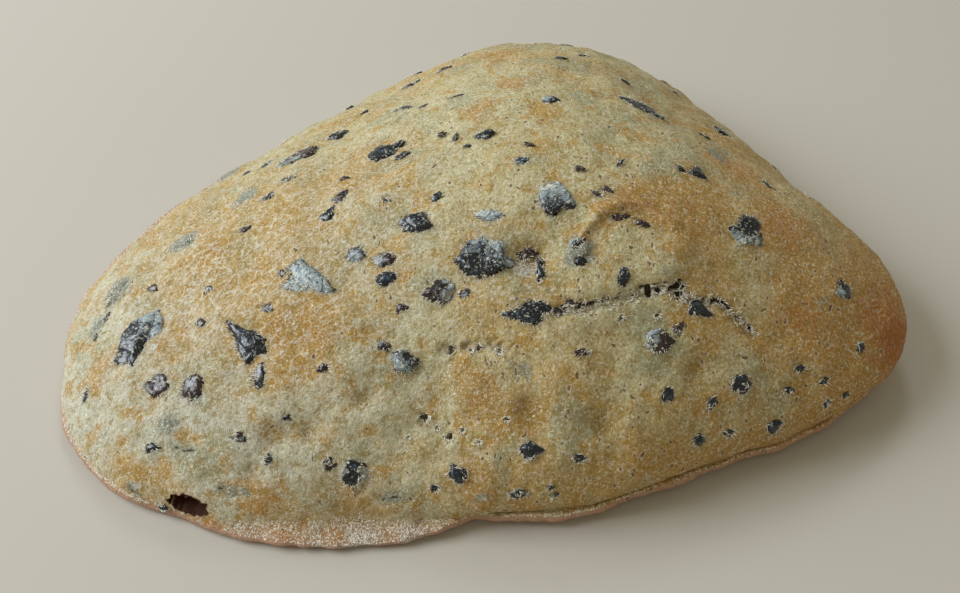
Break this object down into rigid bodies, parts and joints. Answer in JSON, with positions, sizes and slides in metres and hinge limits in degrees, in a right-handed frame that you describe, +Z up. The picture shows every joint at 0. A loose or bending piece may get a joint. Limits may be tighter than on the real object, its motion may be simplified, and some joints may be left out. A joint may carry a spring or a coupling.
{
  "type": "olive bread",
  "caption": "Whole rustic bread with a domed, rounded three-cornered shape, a flat base and chopped black olives in its pale crust; food for eating or display.",
  "frame": {"origin": "middle of the box round the loaf, in plan, on the flat base it rests on", "axes": "+X along the loaf's length, from its low broad end to its narrow end; +Y across it, from the wide torn front to the rounded back; +Z up"},
  "size_m": [0.25, 0.206, 0.061],
  "materials": {
    "baked_crust": "matt, floury, pale golden baked crust",
    "black_olive": "semi-gloss wrinkled black olive with a thin grey film of dough",
    "brown_olive": "semi-gloss wrinkled purple-brown olive with a thin grey film of dough"
  },
  "bodies": {
    "root": {"loaf": "baked_crust", "olive_left_half": "black_olive", "olive_left_shard": "black_olive", "olive_left_brown": "brown_olive", "olive_left_slab": "black_olive", "olive_back_left": "brown_olive", "olive_back_black": "black_olive", "olive_middle_black": "black_olive", "olive_middle_rough": "black_olive", "olive_middle_purple": "brown_olive", "olive_seam_black": "black_olive", "olive_crown_grey": "black_olive", "olive_back_right": "black_olive", "olive_right_star": "black_olive", "olive_front_star": "black_olive"}
  },
  "joints": []
}
